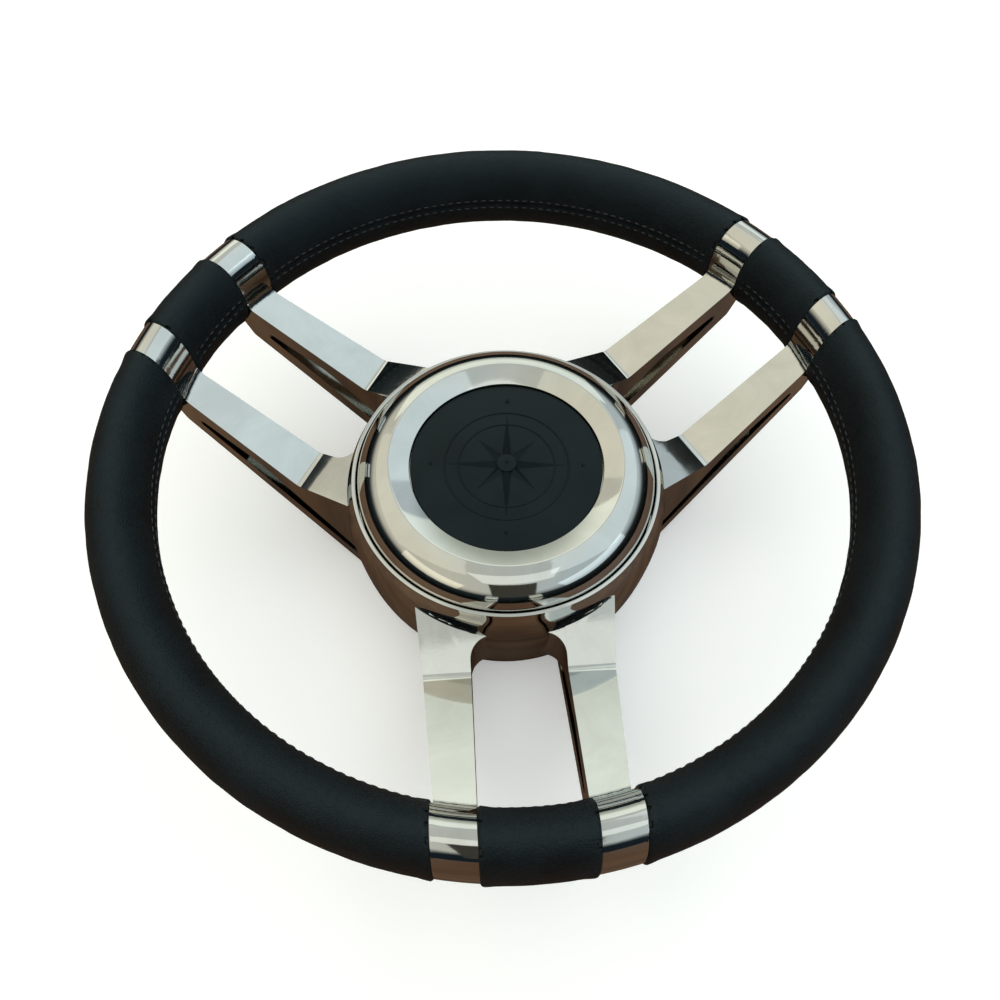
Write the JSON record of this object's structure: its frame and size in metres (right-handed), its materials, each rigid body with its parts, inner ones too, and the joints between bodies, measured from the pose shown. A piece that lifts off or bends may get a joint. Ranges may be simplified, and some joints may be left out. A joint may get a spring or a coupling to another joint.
{
  "type": "boat steering wheel",
  "caption": "Dished marine steering wheel with paired polished spokes, leather-wrapped oval rim and a domed snap-in centre cap.",
  "frame": {"origin": "on the shaft axis, in the hub's flat back face", "axes": "+Z along the helm shaft towards the helmsman; the bottom pair of spokes points along -Y"},
  "size_m": [0.35, 0.35, 0.1102],
  "materials": {
    "polished_steel": "mirror-polished stainless steel",
    "ring_steel": "bright drawn stainless rod",
    "machined_steel": "fine turned stainless",
    "screw_steel": "stainless cap screws",
    "grip_leather": "fine-grained black leather, satin",
    "grip_foam": "moulded integral foam",
    "insert_rubber": "matte moulded rubber with a raised compass rose",
    "oring_rubber": "moulded rubber"
  },
  "bodies": {
    "wheel": {"rim_rod": "ring_steel", "grip_core_short_1": "grip_foam", "grip_wrap_short_1": "grip_leather", "grip_core_long_1": "grip_foam", "grip_wrap_long_1": "grip_leather", "spoke_1_left": "polished_steel", "spoke_1_right": "polished_steel", "grip_core_short_2": "grip_foam", "grip_wrap_short_2": "grip_leather", "grip_core_long_2": "grip_foam", "grip_wrap_long_2": "grip_leather", "spoke_2_left": "polished_steel", "spoke_2_right": "polished_steel", "grip_core_short_3": "grip_foam", "grip_wrap_short_3": "grip_leather", "grip_core_long_3": "grip_foam", "grip_wrap_long_3": "grip_leather", "spoke_3_left": "polished_steel", "spoke_3_right": "polished_steel", "hub_bowl": "polished_steel", "hub_boss": "machined_steel", "boss_screws": "screw_steel"},
    "cap": {"cap_dome": "polished_steel", "cap_insert": "insert_rubber", "cap_oring": "oring_rubber"}
  },
  "joints": [
    {"name": "cap_lift", "type": "slide", "parent": "wheel", "child": "cap", "axis": [0, 0, 1], "range_m": [0, 0.06]}
  ]
}
